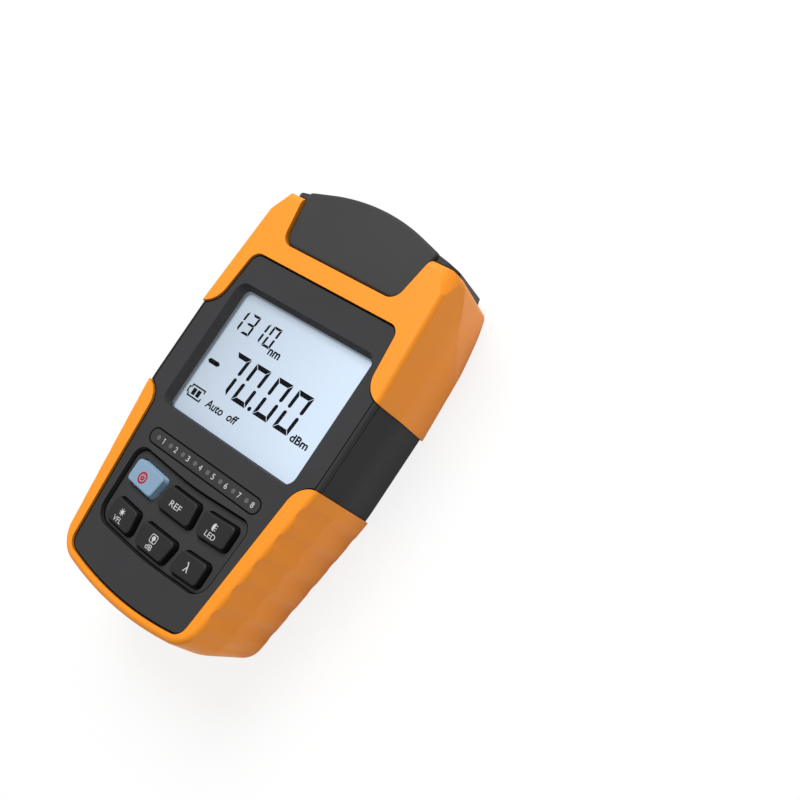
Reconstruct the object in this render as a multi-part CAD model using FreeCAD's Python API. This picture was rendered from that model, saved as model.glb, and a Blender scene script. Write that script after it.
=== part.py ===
"""Hand-held optical power meter: a two-shell case in two rubber bumpers, with a flip-up port cover."""
import FreeCAD, Part

import os
from math import atan2, cos, sin, tan

V = FreeCAD.Vector

# The frame: +X to the right of the display, +Y towards the ports, +Z out of the front.
# The origin is on the back plane, half way along and across the meter.

# ---- Overall ----
LENGTH = 118.0
WIDTH = 68.0
DEPTH = 30.0

# ---- Plan outline of the bumpers ----
TIP_WIDTH = 53.6            # across the two bottom corners, before rounding
TOP_WIDTH = 63.2            # across the two top corners, before rounding
BOTTOM_CORNER_UP = 3.0      # how far the bottom corners stand above the bottom edge
BOTTOM_CROWN_R = 110.0
BOTTOM_CORNER_R = 9.0
HORN_CORNER_R = 2.5
HORN_EDGE_R = 2.0           # rounding from the front face over the port end
HORN_SHOULDER_R = 6.5       # rounding from the front face over the sides at the port end,
HORN_SHOULDER_RUN = 0.25    # which runs out by this much per millimetre away from it
WAIST_LOW_Y = -8.2          # lower bumper stops here on the sides
WAIST_HIGH_Y = 16.4         # upper bumper starts here on the sides
WAIST_BLEND_R = 45.0
END_DROP = 6.0              # the case ends this far below the crown of the dust cover

# ---- Side section ----
KEEL_Z = 18.0               # below this height the sides lean inwards
KEEL_LEAN = 3.4
KEEL_BLEND_R = 30.0
BACK_R = 3.0
SHOULDER_R = 1.6
FINE_R = 0.4
FACET_Z = 22.8              # a leaning facet takes off each rear top corner: at this height it is
FACET_START = (3.4, 23.0)   # this far outside the side, this far before the port end,
FACET_BEND = (1.0, 6.0)     # then bends here,
FACET_END = -0.5            # and meets the end this far outside the side
FACET_BEND_R = 40.0
FACET_EDGE_R = 3.0
FACET_LEAN = 0.29
OVERRUN = 20.0              # shapes that are trimmed later run on this far

# ---- Walls ----
BUMPER_WALL = 2.0
CASE_WALL = 2.0
BAND_INSET = 0.6            # the bare waist of the case lies this far inside the bumpers
PANEL_DROP = 0.6            # the front panel lies this far below the bumper
PANEL_THICK = 2.2
BACK_EDGE = 0.8             # flat margin of rubber round the back panel

# ---- Front panel outline ----
PANEL_TOP_DROP = 18.4       # below the port end
PANEL_TOP_HALF = 26.9
PANEL_TOP_R = 3.2
PANEL_WAIST_HIGH_HALF = 28.9
PANEL_WAIST_LOW_HALF = 28.2
PANEL_TIP_R = 6.5
PANEL_LOW_HALF = 23.5
PANEL_LOW_UP = 4.8          # above the bottom edge
PANEL_LOW_R = 4.0
PANEL_GAP = 0.25            # groove between panel and rubber
SEAM_GAP = 0.25             # groove under the panel's edge at the waist
LIP = 2.3                   # rubber lip below the panel
MOUTH_LEDGE = 1.6           # the panel overlaps the mouth of the rear case by this much
PLUG_GAP = 0.1

# ---- Display window ----
WINDOW_UP = 48.1            # above the bottom edge
WINDOW_DROP = 28.1          # below the port end
WINDOW_HALF = 24.1
WINDOW_R = 1.8
WINDOW_SPLAY = 1.6          # the recess is this much wider at the front on the sides
WINDOW_SPLAY_TOP = 1.2
WINDOW_SPLAY_LOW = 0.4
LENS_MARGIN = 1.4
LENS_THICK = 1.0
LCD_MARGIN = 1.6
LCD_THICK = 2.5
GLUE_GAP = 0.05

# ---- Indicator strip ----
STRIP_HALF = 22.0
STRIP_UP = 39.6             # above the bottom edge
STRIP_HEIGHT = 4.6
STRIP_THICK = 0.6
STRIP_GAP = 0.15
LAMP_COUNT = 8
LAMP_PITCH = 5.07
LAMP_FIRST_X = -18.2
LAMP_WELL_R = 0.6
LAMP_R = 1.5

# ---- Keypad ----
BAY_DEPTH = 1.2
BAY_UP = (13.3, 34.6)       # low and high edge, above the bottom edge
BAY_TOP_HALF = 22.8
BAY_LOW_HALF = 21.7
BAY_TOP_R = 3.2
BAY_LOW_R = 5.0
SMILE_R = 210.0             # both key rows and the bay follow this arc
ROW_UP = (28.9, 18.2)
KEY_HEIGHT = (6.9, 6.7)
KEY_OUTER = (19.9, 19.0)
CENTRE_HALF_TOP = (5.9, 6.9)
CENTRE_HALF_LOW = (6.9, 5.6)
SIDE_INNER_TOP = (7.9, 9.2)
SIDE_INNER_LOW = (9.1, 8.0)
KEY_R = 1.5
KEY_PROUD = 0.6
KEY_DRAFT = 0.35
KEY_EDGE_R = 0.5
KEY_TRAVEL = 0.6
KEY_GAP = 0.3
KEY_FLANGE = 0.8
KEY_FLANGE_THICK = 1.0
STOP_GAP = 0.3
KEYS = {                    # row from the top, and column from the centre
    "power_key": (0, -1),
    "reference_key": (0, 0),
    "torch_key": (0, 1),
    "laser_key": (1, -1),
    "decibel_key": (1, 0),
    "wavelength_key": (1, 1),
}

# ---- Dust cover ----
COVER_GAP = 0.3
COVER_WALL = 1.6
COVER_CROWN_R = 66.0
COVER_INSET = 2.0           # the cover's sides lie this far inside the bumper's
COVER_TOP_R = 5.0           # rounding of its shoulders, seen from the port end
COVER_CORNER_R = 0.6
COVER_BEND_R = 10.0
SHOULDER_DROP = 0.9         # the shoulders lie this far below the slab
COVER_SHOULDER = 1.75       # the shoulder stands this far past the bumper end,
COVER_SHOULDER_X = 22.9
COVER_SIDE_OUT = 0.6        # and the sides this far
COVER_EDGE_R = 0.8
SLAB_LOW_DROP = 13.0        # below the port end
SLAB_LOW_HALF = 20.7
SLAB_TOP_HALF = 23.2
SLAB_R = 3.6
SLAB_TIP_R = 1.4
SLAB_EAVE = 0.3             # the slab stands this far out over the cover's face
SLAB_THICK = 1.8
SLAB_DROP = 0.7             # the slab lies this far below the bumper
HINGE_OUT = 1.0             # past the port end
HINGE_Z = 3.3
KNUCKLE_R = 1.7
PIN_R = 0.75
PIN_GAP = 0.05              # the cover turns on the pin
PRESS_GAP = 0.02            # and the ears grip it
COVER_KNUCKLE = 14.0
CASE_KNUCKLE = 3.7
KNUCKLE_GAP = 0.3
COVER_FOOT_Z = 3.7
CHEEK = 2.8                 # the rubber leaves the end wall bare inside cheeks this thick

# ---- Board and what it carries ----
BOARD_DROP = 10.8           # its underside lies this far below the front
BOARD_THICK = 1.6
BOARD_MARGIN = 1.0
BOARD_END_DROP = 6.0
SWITCH_SIDE = 6.0
SWITCH_BASE = 3.2
PLUNGER_R = 1.7
PLUNGER_HIGH = 0.8
PLUNGER_GAP = 0.3

# ---- Screws ----
SCREW_UPPER = (18.5, 23.0)  # from the centre line, and below the port end
SCREW_LOWER = (16.5, 12.0)  # from the centre line, and above the bottom edge
SCREW_R = 1.1
SCREW_HOLE_GAP = 0.15
SCREW_HEAD_R = 1.8
SCREW_HEAD_HIGH = 1.4
SCREW_SINK = 1.6
COUNTERBORE_GAP = 0.2
POST_R = 2.7
BOSS_R = 2.5
SCREW_BITE = 4.5

# ---- Battery bay ----
CELL_R = 5.15
CELL_LENGTH = 43.5
CELL_COUNT = 3
CELL_PITCH = 10.7
NUB_R = 1.9
NUB_LENGTH = 1.0
CONTACT_DEPTH = 2.2
CONTACT_THICK = 0.4
BAY_CELL_GAP = 0.35
BAY_WALL = 1.4
CELLS_UP = 40.6             # middle of the cells, above the bottom edge
DOOR_THICK = 2.0
DOOR_LEDGE = 1.3
DOOR_GAP = 0.3
DOOR_R = 3.0
DOOR_SINK = 0.3
LATCH_HALF = 6.0
LATCH_OUT = 2.4
LATCH_R = 1.5
GRIP_COUNT = 4
GRIP_PITCH = 1.8
GRIP_R = 0.6

# ---- Ports ----
PORT_DROP = 6.4             # ports lie this far below the board
DETECTOR_X = -17.0
LASER_X = -6.6
TORCH_X = 1.6
JACK_X = 13.1
FERRULE_R = 1.25
FERRULE_GAP = 0.01
DETECTOR_BARREL_R = 3.9
DETECTOR_FLANGE_R = 5.2
DETECTOR_OUT = 2.4
LASER_BARREL_R = 3.4
LASER_FLANGE_R = 4.6
LASER_OUT = 4.0
PORT_FLANGE = 1.2
PORT_DEPTH = 7.0
SEAT_DEPTH = 2.0
DETECTOR_CAN_R = 2.7
DETECTOR_CAN = 4.2
LASER_NOSE_R = 2.4
LASER_R = 4.5
LASER_LENGTH = 21.0
TORCH_R = 2.5
TORCH_BARREL_R = 2.9
TORCH_BEZEL_R = 3.1
TORCH_LENGTH = 8.6
TORCH_RIM_R = 2.9
TORCH_RIM = 1.0
PORT_HOLE_GAP = 0.1
JACK = (15.4, 13.6, 13.0)   # width, depth, height
JACK_OUT = 0.3
SOCKET = (11.8, 11.4, 6.8)
SOCKET_UP = 2.0
LATCH_SLOT = (6.2, 1.6)
PIN_COUNT = 8
PIN_PITCH = 1.02
PIN_WIDTH = 0.45
PIN_RUN = 6.0
PIN_RISE = 1.6
PIN_FOOT = 0.5

# ---- Grip scallops of the lower bumper ----
SCALLOP_COUNT = 6           # soft notches that part the finger pads
SCALLOP_PITCH = 7.6
SCALLOP_FIRST = 6.4         # below the waist
SCALLOP_R = 4.0
SCALLOP_DEPTH = 1.1         # of the wave's corners, before they are rounded
SCALLOP_RISE = 0.35         # the wave's crests pass this far outside the pads

BOTTOM_Y = -LENGTH / 2
END_Y = LENGTH / 2 - END_DROP
PANEL_LOW_Y = BOTTOM_Y + PANEL_LOW_UP
PANEL_TOP_Y = END_Y - PANEL_TOP_DROP
WINDOW_Y = (BOTTOM_Y + WINDOW_UP, END_Y - WINDOW_DROP)
STRIP_Y = BOTTOM_Y + STRIP_UP
BAY_LOW_Y = BOTTOM_Y + BAY_UP[0]
BAY_TOP_Y = BOTTOM_Y + BAY_UP[1]
ROW_Y = (BOTTOM_Y + ROW_UP[0], BOTTOM_Y + ROW_UP[1])
SLAB_LOW_Y = END_Y - SLAB_LOW_DROP
HINGE_Y = END_Y + HINGE_OUT
BOARD_Z = DEPTH - BOARD_DROP
BOARD_END_Y = END_Y - BOARD_END_DROP
CELLS_Y = BOTTOM_Y + CELLS_UP
PORT_Z = BOARD_Z - PORT_DROP
PANEL_Z = DEPTH - PANEL_DROP
PANEL_UNDER = PANEL_Z - PANEL_THICK
SEAM_Z = DEPTH - BUMPER_WALL
BOARD_TOP = BOARD_Z + BOARD_THICK
PLUNGER_TOP = BOARD_TOP + SWITCH_BASE + PLUNGER_HIGH
SCREW_TOP = BOARD_TOP + SCREW_BITE
SLAB_Z = DEPTH - SLAB_DROP
SHOULDER_Z = SLAB_Z - SHOULDER_DROP
WALL_Y = END_Y - BUMPER_WALL
EAR_X = (COVER_KNUCKLE / 2 + KNUCKLE_GAP, COVER_KNUCKLE / 2 + KNUCKLE_GAP + CASE_KNUCKLE)
CELL_Z = DOOR_THICK + BAY_CELL_GAP + CELL_R
BATTERY_TOP = CELL_Z + CELL_R + BAY_CELL_GAP
BATTERY_HALF = CELL_PITCH * (CELL_COUNT - 1) / 2 + CELL_R + BAY_CELL_GAP
BATTERY_Y = (CELLS_Y - CELL_LENGTH / 2 - CONTACT_DEPTH, CELLS_Y + CELL_LENGTH / 2 + CONTACT_DEPTH)
BACK_PLATE_INSET = KEEL_LEAN + BACK_R + BACK_EDGE
FAR = 2 * LENGTH


# ---- Helpers ----
def outline(corners):
    """Closed wire through corners (x, y, radius), each one rounded by a tangent arc."""
    edges = []
    ends = []
    count = len(corners)
    for i, (x, y, r) in enumerate(corners):
        here = V(x, y, 0)
        before = V(*corners[i - 1][:2], 0) - here
        after = V(*corners[(i + 1) % count][:2], 0) - here
        before.normalize()
        after.normalize()
        half = before.getAngle(after) / 2
        back = r / tan(half)
        start = here + before * back
        end = here + after * back
        if r > 0:
            middle = before + after
            middle.normalize()
            tip = here + middle * (r / sin(half) - r)
            edges.append(Part.Arc(start, tip, end).toShape())
        ends.append((start, end))
    for i in range(count):
        a, b = ends[i - 1][1], ends[i][0]
        if a.distanceToPoint(b) > 1e-6:
            edges.append(Part.makeLine(a, b))
    return Part.Wire(Part.__sortEdges__(edges))


def mirrored(half):
    """A symmetric outline from the corners of its right half."""
    left = [(-x, y, r) for x, y, r in reversed(half) if x > 0]
    return outline(list(half) + left)


def crown(peak, radius, beside):
    """The corner on the centre line whose large arc peaks at y = peak, next to the corner beside."""
    past = 0.0
    for _ in range(20):
        rise = abs(abs(peak) + past - abs(beside[1]))
        slope = atan2(rise, beside[0])
        past = radius * (1 / cos(slope) - 1)
    return (0.0, peak + (past if peak > 0 else -past), radius)


def inset(wire, distance):
    return wire.makeOffset2D(-distance) if distance else wire


def prism(wire, z0, z1):
    solid = Part.Face(wire).extrude(V(0, 0, z1 - z0))
    solid.translate(V(0, 0, z0))
    return solid


def taper(low, z0, high, z1):
    """Solid between two outlines of like corners at two heights."""
    a, b = low.copy(), high.copy()
    a.translate(V(0, 0, z0))
    b.translate(V(0, 0, z1))
    return Part.makeLoft([a, b], True, True)


def block(x0, x1, y0, y1, z0, z1):
    return Part.makeBox(x1 - x0, y1 - y0, z1 - z0, V(x0, y0, z0))


def rod_x(r, x0, x1, y, z):
    return Part.makeCylinder(r, x1 - x0, V(x0, y, z), V(1, 0, 0))


def rod_y(r, y0, y1, x, z=PORT_Z):
    return Part.makeCylinder(r, y1 - y0, V(x, y0, z), V(0, 1, 0))


def rod_z(r, z0, z1, x, y):
    return Part.makeCylinder(r, z1 - z0, V(x, y, z0), V(0, 0, 1))


def below_y(solid, y):
    return solid.common(block(-WIDTH, WIDTH, -LENGTH, y, -DEPTH, 2 * DEPTH))


def above_y(solid, y):
    return solid.common(block(-WIDTH, WIDTH, y, LENGTH, -DEPTH, 2 * DEPTH))


def joined(solids):
    first, *others = solids
    return first.multiFuse(others).removeSplitter() if others else first


def edges_at(solid, z):
    """The edges that lie wholly at height z."""
    flat = []
    for edge in solid.Edges:
        box = edge.BoundBox
        if abs(box.ZMin - z) < 1e-4 and abs(box.ZMax - z) < 1e-4:
            flat.append(edge)
    return flat


def save(name, shape):
    solids = shape.Solids
    kept = solids[0] if len(solids) == 1 else Part.makeCompound(solids)
    kept.exportStep(os.path.join("parts", name + ".step"))
    print(f"{name:20s} solids {len(solids)}  volume {kept.Volume:10.2f}  valid {kept.isValid()}")


# ---- Body: every shell of case and bumper is this shape, inset ----
def side_x(y):
    """Half width of the body beside the upper bumper."""
    narrowing = (WIDTH - TOP_WIDTH) / 2 / (END_Y - WAIST_HIGH_Y)
    return TOP_WIDTH / 2 + narrowing * (END_Y - y)


def body_outline(ended=False):
    """Plan of the body, running on past its port end unless ended."""
    tip = (TIP_WIDTH / 2, BOTTOM_Y + BOTTOM_CORNER_UP, BOTTOM_CORNER_R)
    end = (TOP_WIDTH / 2, END_Y, HORN_CORNER_R) if ended else (side_x(END_Y + OVERRUN), END_Y + OVERRUN, 0)
    return mirrored([
        crown(BOTTOM_Y, BOTTOM_CROWN_R, tip),
        tip,
        (WIDTH / 2, WAIST_LOW_Y, WAIST_BLEND_R),
        (WIDTH / 2, WAIST_HIGH_Y, WAIST_BLEND_R),
        end,
    ])


def inside_facet(deep, side, ended):
    """All that lies inside the leaning facet of one rear top corner, and inside the port end."""
    start, bend, end = [(side_x(END_Y - back) + out, END_Y - back)
                        for out, back in (FACET_START, FACET_BEND, (FACET_END, 0))]
    run_x, run_y = (bend[0] - start[0]) / (bend[1] - start[1]), (end[0] - bend[0]) / (end[1] - bend[1])
    before = (start[0] - run_x * LENGTH, start[1] - LENGTH, 0)
    last = (*end, FACET_EDGE_R) if ended else (end[0] + run_y * OVERRUN, END_Y + OVERRUN, 0)
    corners = [(-FAR, before[1], 0), before, (*bend, FACET_BEND_R), last, (-FAR, last[1], 0)]
    plan = inset(outline(corners), deep)
    top_z = DEPTH + OVERRUN
    plan.translate(V(FACET_LEAN * (top_z - FACET_Z), 0, top_z))
    drop = DEPTH + 2 * OVERRUN
    solid = Part.Face(plan).extrude(V(-FACET_LEAN * drop, 0, -drop))
    return solid if side > 0 else solid.mirror(V(0, 0, 0), V(1, 0, 0))


def body(deep, rounded=True, ended=False):
    """The body, inset by deep all round, and running on past its port end unless ended."""
    rim = inset(body_outline(), deep)
    keel = inset(rim, KEEL_LEAN * (1 - deep / KEEL_Z))
    solid = taper(keel, deep, rim, KEEL_Z).fuse(prism(rim, KEEL_Z, DEPTH - deep)).removeSplitter()
    if rounded:
        solid = solid.makeFillet(KEEL_BLEND_R, edges_at(solid, KEEL_Z))
        solid = solid.makeFillet(BACK_R, edges_at(solid, deep))
        solid = solid.makeFillet(max(SHOULDER_R - deep, FINE_R), edges_at(solid, DEPTH - deep))
    for side in (1, -1):
        solid = solid.common(inside_facet(deep, side, ended))
    if ended:
        solid = solid.common(prism(inset(body_outline(ended=True), deep), -1, DEPTH + 1))
        solid = solid.common(inside_front_edge(deep))
        for side in (1, -1):
            solid = solid.common(inside_end_shoulder(deep, side))
    return solid


def inside_front_edge(deep):
    """All that lies inside the rounding from the front face over the port end."""
    y, z = END_Y - deep, DEPTH - deep
    r = max(HORN_EDGE_R - deep, FINE_R)
    profile = Part.Face(outline([(-FAR, -FAR, 0), (y, -FAR, 0), (y, z, r), (-FAR, z, 0)]))
    to_side = FreeCAD.Rotation(V(0, 1, 0), V(0, 0, 1), V(1, 0, 0), "XYZ")
    profile.Placement = FreeCAD.Placement(V(-WIDTH, 0, 0), to_side)
    return profile.extrude(V(2 * WIDTH, 0, 0))


def seen_from_end(corners):
    """Face at the port end with corners (x, z, radius)."""
    face = Part.Face(outline(corners))
    face.Placement = FreeCAD.Placement(V(0, END_Y, 0), FreeCAD.Rotation(V(1, 0, 0), 90))
    return face


def inside_end_shoulder(deep, side):
    """All that lies inside the big rounding of one front corner at the port end."""
    x, z = TOP_WIDTH / 2 - deep, DEPTH - deep
    corners = [(-FAR, -FAR, 0), (x, -FAR, 0), (x, z, HORN_SHOULDER_R - deep), (-FAR, z, 0)]
    solid = seen_from_end(corners).extrude(V(HORN_SHOULDER_RUN, -1, HORN_SHOULDER_RUN) * 2 * LENGTH)
    return solid if side > 0 else solid.mirror(V(0, 0, 0), V(1, 0, 0))


def panel_outline():
    low = (PANEL_LOW_HALF, PANEL_LOW_Y, PANEL_LOW_R)
    return mirrored([
        crown(BOTTOM_Y + LIP, BOTTOM_CROWN_R, low),
        low,
        (PANEL_WAIST_LOW_HALF, WAIST_LOW_Y, PANEL_TIP_R),
        (WIDTH, WAIST_LOW_Y, 0),
        (WIDTH, WAIST_HIGH_Y, 0),
        (PANEL_WAIST_HIGH_HALF, WAIST_HIGH_Y, PANEL_TIP_R),
        (PANEL_TOP_HALF, PANEL_TOP_Y, PANEL_TOP_R),
    ])


def mouth(gap, z0, z1):
    """The opening of the rear case that the front panel's underside drops into."""
    inner = prism(inset(body_outline(), BUMPER_WALL + CASE_WALL + gap), z0, z1)
    return inner.common(prism(inset(panel_outline(), MOUTH_LEDGE + gap), z0, z1))


def slab_outline(past_end=OVERRUN, tip_r=0.0):
    """The cover's raised slab, whose sides widen up to past_end beyond the case's end."""
    widening = (SLAB_TOP_HALF - SLAB_LOW_HALF) / (END_Y - SLAB_LOW_Y)
    tip = (SLAB_TOP_HALF + widening * past_end, END_Y + past_end, tip_r)
    top = [crown(LENGTH / 2, COVER_CROWN_R, tip)] if tip_r else []
    return mirrored(top + [tip, (SLAB_LOW_HALF, SLAB_LOW_Y, SLAB_R)])


def slab_recess(z0, z1):
    """The space that the slab needs in case and bumper."""
    return prism(inset(slab_outline(), -COVER_GAP), z0, z1)


# ---- Keypad ----
def smile(x):
    return x * x / (2 * SMILE_R)


def key_outline(row, column):
    """A key's foot: the middle one is a trapezium, and the outer ones lean with it."""
    top = ROW_Y[row] + KEY_HEIGHT[row] / 2
    low = ROW_Y[row] - KEY_HEIGHT[row] / 2
    if column == 0:
        corners = [(CENTRE_HALF_LOW[row], low), (CENTRE_HALF_TOP[row], top)]
        return mirrored([(x, y, KEY_R) for x, y in corners])
    corners = [
        (SIDE_INNER_LOW[row], low),
        (KEY_OUTER[row], low),
        (KEY_OUTER[row], top),
        (SIDE_INNER_TOP[row], top),
    ]
    return outline([(column * x, y + smile(x), KEY_R) for x, y in corners])


def key_centre(row, column):
    x = column * (KEY_OUTER[row] + (SIDE_INNER_TOP[row] + SIDE_INNER_LOW[row]) / 2) / 2
    return x, ROW_Y[row] + smile(x)


def key(row, column):
    foot = key_outline(row, column)
    foot_z = PANEL_UNDER - STOP_GAP
    top_z = PANEL_Z + KEY_PROUD
    cap = taper(foot, foot_z, inset(foot, KEY_DRAFT), top_z)
    cap = cap.makeFillet(KEY_EDGE_R, edges_at(cap, top_z))
    flange = prism(inset(foot, -KEY_FLANGE), foot_z - KEY_FLANGE_THICK, foot_z)
    stem_z = PLUNGER_TOP + PLUNGER_GAP + KEY_TRAVEL
    stem = rod_z(PLUNGER_R, stem_z, foot_z, *key_centre(row, column))
    return joined([cap, flange, stem])


def bay_outline():
    low_y, top_y = BAY_LOW_Y + smile(BAY_LOW_HALF), BAY_TOP_Y + smile(BAY_TOP_HALF)
    low = (BAY_LOW_HALF, low_y, BAY_LOW_R)
    top = (BAY_TOP_HALF, top_y, BAY_TOP_R)
    return mirrored([(0.0, BAY_LOW_Y, SMILE_R / 2), low, top, (0.0, BAY_TOP_Y, SMILE_R / 2)])


# ---- Front panel ----
def window():
    """The display recess, splayed towards the front."""
    y0, y1 = WINDOW_Y
    inner = mirrored([(WINDOW_HALF, y0, WINDOW_R), (WINDOW_HALF, y1, WINDOW_R)])
    half = WINDOW_HALF + WINDOW_SPLAY
    r = WINDOW_R + WINDOW_SPLAY_TOP
    outer = mirrored([(half, y0 - WINDOW_SPLAY_LOW, r), (half, y1 + WINDOW_SPLAY_TOP, r)])
    return taper(inner, PANEL_UNDER, outer, PANEL_Z)


def strip_outline(gap=0.0):
    r = STRIP_HEIGHT / 2 - gap - 0.01
    half = STRIP_HALF - gap
    y0, y1 = STRIP_Y - STRIP_HEIGHT / 2 + gap, STRIP_Y + STRIP_HEIGHT / 2 - gap
    return mirrored([(half, y0, r), (half, y1, r)])


def lamp_places():
    return [(LAMP_FIRST_X + LAMP_PITCH * i, STRIP_Y) for i in range(LAMP_COUNT)]


def screw_places():
    rows = [(SCREW_UPPER[0], END_Y - SCREW_UPPER[1]), (SCREW_LOWER[0], BOTTOM_Y + SCREW_LOWER[1])]
    return [(side * x, y) for x, y in rows for side in (1, -1)]


def front_case():
    plate = prism(inset(panel_outline(), PANEL_GAP), SEAM_Z, PANEL_Z).common(body(BAND_INSET))
    plug = mouth(PLUG_GAP, PANEL_UNDER, SEAM_Z)
    bosses = [rod_z(BOSS_R, BOARD_TOP, PANEL_UNDER, x, y) for x, y in screw_places()]
    solid = joined([plate, plug] + bosses)
    cuts = [window(), prism(bay_outline(), PANEL_Z - BAY_DEPTH, DEPTH)]
    cuts += [prism(inset(key_outline(*place), -KEY_GAP), PANEL_UNDER - 1, DEPTH) for place in KEYS.values()]
    cuts.append(prism(strip_outline(), PANEL_Z - STRIP_THICK, DEPTH))
    cuts += [rod_z(LAMP_WELL_R, PANEL_UNDER - 1, DEPTH, x, y) for x, y in lamp_places()]
    cuts += [rod_z(SCREW_R + PIN_GAP, BOARD_TOP, SCREW_TOP + PIN_GAP, x, y) for x, y in screw_places()]
    return solid.cut(cuts)


# ---- Battery bay ----
def cell_places():
    return [(CELL_PITCH * (i - (CELL_COUNT - 1) / 2), 1 if i % 2 else -1) for i in range(CELL_COUNT)]


def bay_box(grown, z0, z1):
    half = BATTERY_HALF + grown
    return block(-half, half, BATTERY_Y[0] - grown, BATTERY_Y[1] + grown, z0, z1)


def door_outline(gap=0.0):
    half = BATTERY_HALF + DOOR_LEDGE - gap
    y0, y1 = BATTERY_Y[0] - DOOR_LEDGE + gap, BATTERY_Y[1] + DOOR_LEDGE - gap
    return mirrored([(half, y0, DOOR_R - gap), (half, y1, DOOR_R - gap)])


def latch_tab(gap=0.0):
    y = BATTERY_Y[1] + DOOR_LEDGE
    half = LATCH_HALF - gap
    return mirrored([(half, y - LATCH_OUT, 0), (half, y + LATCH_OUT - gap, LATCH_R)])


def battery_door():
    top = DOOR_THICK - PLUG_GAP
    door = joined([prism(wire, DOOR_SINK, top) for wire in (door_outline(DOOR_GAP), latch_tab(DOOR_GAP))])
    grooves = []
    for i in range(GRIP_COUNT):
        y = BATTERY_Y[1] - GRIP_PITCH * i
        grooves.append(rod_x(GRIP_R, -LATCH_HALF, LATCH_HALF, y, DOOR_SINK - GRIP_R / 2))
    return door.cut(grooves)


def battery_cells():
    solids = []
    for x, way in cell_places():
        body_end, nub_end = CELL_LENGTH / 2 - NUB_LENGTH, CELL_LENGTH / 2
        y0, y1 = sorted((CELLS_Y - way * nub_end, CELLS_Y + way * body_end))
        n0, n1 = sorted((CELLS_Y + way * body_end, CELLS_Y + way * nub_end))
        can = rod_y(CELL_R, y0, y1, x, CELL_Z)
        solids.append(joined([can, rod_y(NUB_R, n0, n1, x, CELL_Z)]))
    return Part.makeCompound(solids)


def battery_contacts():
    """At each end of each cell: a plate on the bay's wall with a pressed cone that reaches the cell."""
    solids = []
    for x, _ in cell_places():
        for end, way in zip(BATTERY_Y, (1, -1)):
            y0, y1 = sorted((end, end + way * CONTACT_THICK))
            plate = block(x - CELL_R + 1, x + CELL_R - 1, y0, y1, CELL_Z - CELL_R + 1, CELL_Z + CELL_R - 1)
            reach = CONTACT_DEPTH - CONTACT_THICK - GLUE_GAP
            base = V(x, end + way * CONTACT_THICK, CELL_Z)
            cone = Part.makeCone(CELL_R - 2, NUB_R - 0.5, reach, base, V(0, way, 0))
            solids.append(joined([plate, cone]))
    return Part.makeCompound(solids)


# ---- Rear case and bumpers ----
def back_plate():
    """The part of the back that is bare of rubber."""
    wire = inset(body_outline(), BACK_PLATE_INSET)
    return below_y(prism(wire, 0, BUMPER_WALL + CASE_WALL), WALL_Y)


def case_block():
    """Outside of the closed case, up to the seam."""
    core = body(BUMPER_WALL, ended=True)
    band = below_y(above_y(body(BAND_INSET), WAIST_LOW_Y), WAIST_HIGH_Y)
    band = band.common(block(-WIDTH, WIDTH, -LENGTH, LENGTH, 0, SEAM_Z - SEAM_GAP))
    return joined([core, band, back_plate()])


def ears():
    solids = []
    for side in (1, -1):
        x0, x1 = sorted((side * EAR_X[0], side * EAR_X[1]))
        solids.append(rod_x(KNUCKLE_R, x0, x1, HINGE_Y, HINGE_Z))
        solids.append(block(x0, x1, WALL_Y - 1, HINGE_Y, HINGE_Z - KNUCKLE_R, HINGE_Z + KNUCKLE_R))
    return solids


def port_holes():
    gap = PORT_HOLE_GAP
    y0, y1 = WALL_Y - 2 * CASE_WALL, WALL_Y + CASE_WALL
    half = JACK[0] / 2 + gap
    return [
        rod_y(DETECTOR_BARREL_R + gap, y0, y1, DETECTOR_X),
        rod_y(LASER_BARREL_R + gap, y0, y1, LASER_X),
        rod_y(TORCH_BARREL_R + gap, y0, y1, TORCH_X),
        block(JACK_X - half, JACK_X + half, y0, y1, BOARD_Z - JACK[2] - gap, BOARD_Z + gap),
    ]


def rear_case():
    inside = body(BUMPER_WALL + CASE_WALL, rounded=False)
    floor_pocket = prism(inset(body_outline(), BACK_PLATE_INSET + CASE_WALL), CASE_WALL, KEEL_Z)
    hollows = [below_y(space, WALL_Y - CASE_WALL) for space in (inside, floor_pocket)]
    solid = case_block().cut(hollows + [mouth(0, SEAM_Z - 2 * CASE_WALL, DEPTH)])
    posts = [rod_z(POST_R, CASE_WALL, BOARD_Z, x, y) for x, y in screw_places()]
    rim_top = DOOR_THICK + CASE_WALL
    rims = [prism(inset(wire, -BAY_WALL), CASE_WALL, rim_top) for wire in (door_outline(), latch_tab())]
    bay = bay_box(BAY_WALL, CASE_WALL, BATTERY_TOP + BAY_WALL)
    solid = joined([solid, bay] + rims + posts + ears())
    head_z = SCREW_SINK + SCREW_HEAD_HIGH
    cuts = [
        bay_box(0, -1, BATTERY_TOP),
        prism(door_outline(), -1, DOOR_THICK),
        prism(latch_tab(), -1, DOOR_THICK),
        slab_recess(SLAB_Z - SLAB_THICK - COVER_GAP, DEPTH),
        rod_x(PIN_R + PRESS_GAP, -EAR_X[1] - 1, EAR_X[1] + 1, HINGE_Y, HINGE_Z),
    ]
    for x, y in screw_places():
        cuts.append(rod_z(SCREW_R + SCREW_HOLE_GAP, -1, DEPTH, x, y))
        cuts.append(rod_z(SCREW_HEAD_R + COUNTERBORE_GAP, -1, head_z, x, y))
    return solid.cut(cuts + port_holes())


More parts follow.
